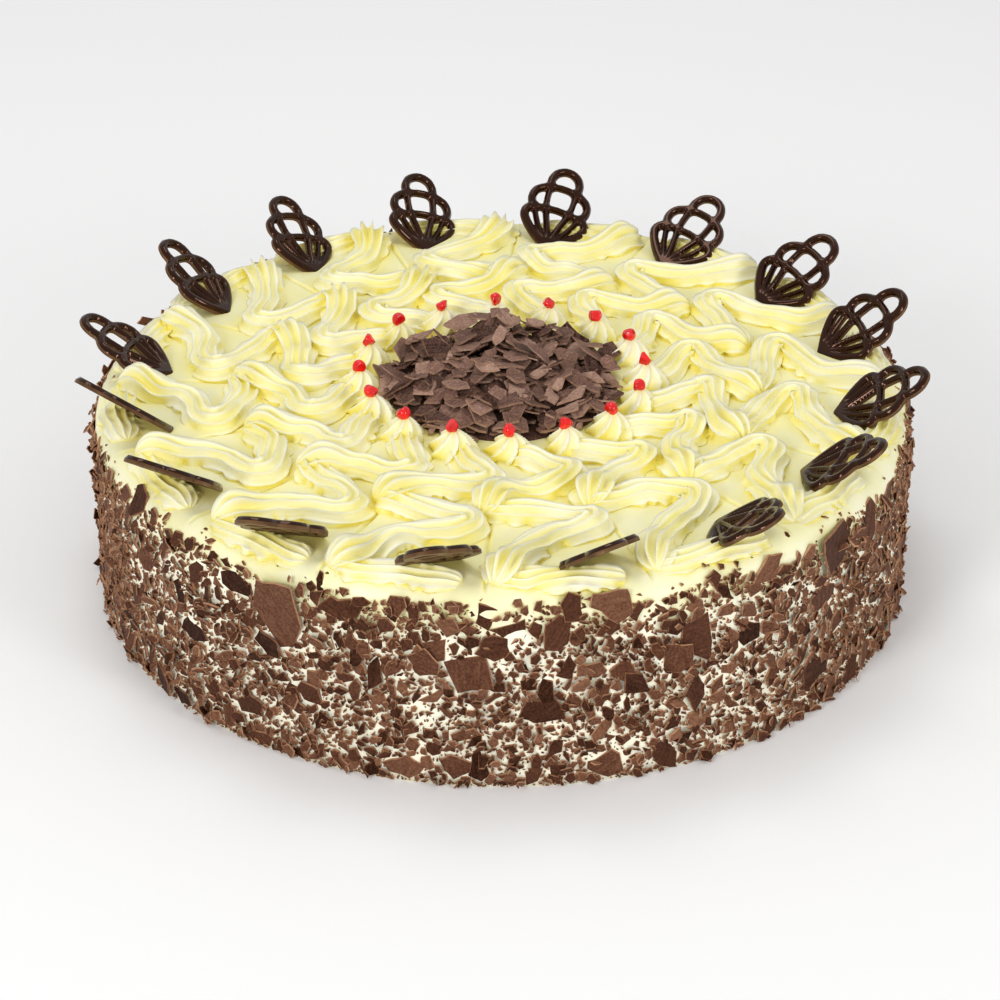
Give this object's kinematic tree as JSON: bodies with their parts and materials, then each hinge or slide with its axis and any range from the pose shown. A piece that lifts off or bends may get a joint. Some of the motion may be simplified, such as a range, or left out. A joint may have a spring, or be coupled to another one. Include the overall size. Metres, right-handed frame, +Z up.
{
  "type": "vanilla cream torte",
  "caption": "Round uncut torte coated in vanilla cream, with chocolate flakes on the side, piped waves, jelly pieces, openwork chocolate fans and a central heap of flakes.",
  "frame": {"origin": "centre of the flat underside, on the surface the torte stands on", "axes": "+Z up through the middle of the torte, -Y towards the viewer of the picture, +X to that viewer's right"},
  "size_m": [0.2842, 0.2834, 0.0889],
  "materials": {
    "vanilla_cream": "smooth whipped cream with a soft sheen; the fused side flakes are dark brown",
    "piped_cream": "soft satin cream, ridged by a star nozzle",
    "chocolate_flakes": "dull dark chocolate with paler broken edges",
    "dark_chocolate": "glossy moulded front, dull back",
    "red_jelly": "wet clear gloss"
  },
  "bodies": {
    "root": {"torte_body": "vanilla_cream", "flake_heap": "chocolate_flakes", "piped_cream_01": "piped_cream", "jelly_01": "red_jelly", "ornament_01": "dark_chocolate", "piped_cream_02": "piped_cream", "jelly_02": "red_jelly", "ornament_02": "dark_chocolate", "piped_cream_03": "piped_cream", "jelly_03": "red_jelly", "ornament_03": "dark_chocolate", "piped_cream_04": "piped_cream", "jelly_04": "red_jelly", "ornament_04": "dark_chocolate", "piped_cream_05": "piped_cream", "jelly_05": "red_jelly", "ornament_05": "dark_chocolate", "piped_cream_06": "piped_cream", "jelly_06": "red_jelly", "ornament_06": "dark_chocolate", "piped_cream_07": "piped_cream", "jelly_07": "red_jelly", "ornament_07": "dark_chocolate", "piped_cream_08": "piped_cream", "jelly_08": "red_jelly", "ornament_08": "dark_chocolate", "piped_cream_09": "piped_cream", "jelly_09": "red_jelly", "ornament_09": "dark_chocolate", "piped_cream_10": "piped_cream", "jelly_10": "red_jelly", "ornament_10": "dark_chocolate", "piped_cream_11": "piped_cream", "jelly_11": "red_jelly", "ornament_11": "dark_chocolate", "piped_cream_12": "piped_cream", "jelly_12": "red_jelly", "ornament_12": "dark_chocolate", "piped_cream_13": "piped_cream", "jelly_13": "red_jelly", "ornament_13": "dark_chocolate", "piped_cream_14": "piped_cream", "jelly_14": "red_jelly", "ornament_14": "dark_chocolate", "piped_cream_15": "piped_cream", "jelly_15": "red_jelly", "ornament_15": "dark_chocolate", "piped_cream_16": "piped_cream", "jelly_16": "red_jelly", "ornament_16": "dark_chocolate"}
  },
  "joints": []
}
